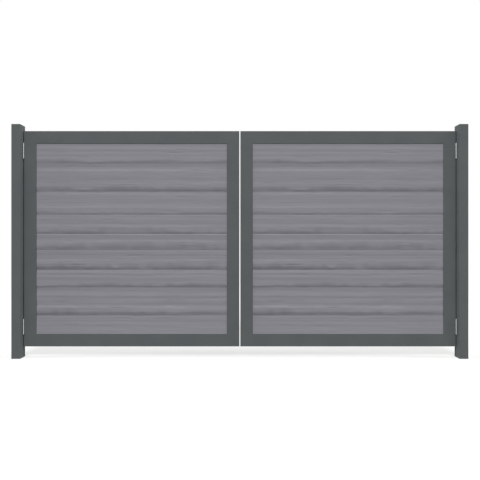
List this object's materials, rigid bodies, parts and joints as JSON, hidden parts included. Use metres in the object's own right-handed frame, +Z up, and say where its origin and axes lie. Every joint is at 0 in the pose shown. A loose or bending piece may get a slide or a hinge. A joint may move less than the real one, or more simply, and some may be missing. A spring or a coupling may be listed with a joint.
{
  "type": "double swing gate",
  "caption": "Driveway gate with mitred aluminium frames, horizontal tongue-and-groove composite boards and lift-off hinges, hung between square capped posts.",
  "frame": {"origin": "middle of the left post's foot, at ground level", "axes": "+X along the gate from the left post to the right one as seen from the front, +Y from the front to the back, +Z up"},
  "size_m": [3.6, 0.07, 1.85],
  "materials": {
    "powder_coated_aluminium": "matte",
    "wood_plastic_composite": "matte",
    "cap_plastic": "matte",
    "stainless_steel": "satin"
  },
  "bodies": {
    "posts": {"left_post": "powder_coated_aluminium", "left_post_cap": "cap_plastic", "left_upper_hinge_fixed_half": "stainless_steel", "left_upper_hinge_pin": "stainless_steel", "left_lower_hinge_fixed_half": "stainless_steel", "left_lower_hinge_pin": "stainless_steel", "right_post": "powder_coated_aluminium", "right_post_cap": "cap_plastic", "right_upper_hinge_fixed_half": "stainless_steel", "right_upper_hinge_pin": "stainless_steel", "right_lower_hinge_fixed_half": "stainless_steel", "right_lower_hinge_pin": "stainless_steel"},
    "left_leaf": {"left_hinge_stile": "powder_coated_aluminium", "left_meeting_stile": "powder_coated_aluminium", "left_top_rail": "powder_coated_aluminium", "left_bottom_rail": "powder_coated_aluminium", "left_board_1": "wood_plastic_composite", "left_board_2": "wood_plastic_composite", "left_board_3": "wood_plastic_composite", "left_board_4": "wood_plastic_composite", "left_board_5": "wood_plastic_composite", "left_board_6": "wood_plastic_composite", "left_board_7": "wood_plastic_composite", "left_board_8": "wood_plastic_composite", "left_board_9": "wood_plastic_composite", "left_upper_hinge_swinging_half": "stainless_steel", "left_lower_hinge_swinging_half": "stainless_steel"},
    "right_leaf": {"right_hinge_stile": "powder_coated_aluminium", "right_meeting_stile": "powder_coated_aluminium", "right_top_rail": "powder_coated_aluminium", "right_bottom_rail": "powder_coated_aluminium", "right_board_1": "wood_plastic_composite", "right_board_2": "wood_plastic_composite", "right_board_3": "wood_plastic_composite", "right_board_4": "wood_plastic_composite", "right_board_5": "wood_plastic_composite", "right_board_6": "wood_plastic_composite", "right_board_7": "wood_plastic_composite", "right_board_8": "wood_plastic_composite", "right_board_9": "wood_plastic_composite", "right_upper_hinge_swinging_half": "stainless_steel", "right_lower_hinge_swinging_half": "stainless_steel"}
  },
  "joints": [
    {"name": "left_leaf_swing", "type": "hinge", "parent": "posts", "child": "left_leaf", "pos_m": [0.0405, 0.0017, 0.183], "axis": [0, 0, -1], "range_deg": [0, 90]},
    {"name": "right_leaf_swing", "type": "hinge", "parent": "posts", "child": "right_leaf", "pos_m": [3.4895, 0.0017, 0.183], "axis": [0, 0, 1], "range_deg": [0, 90]}
  ]
}
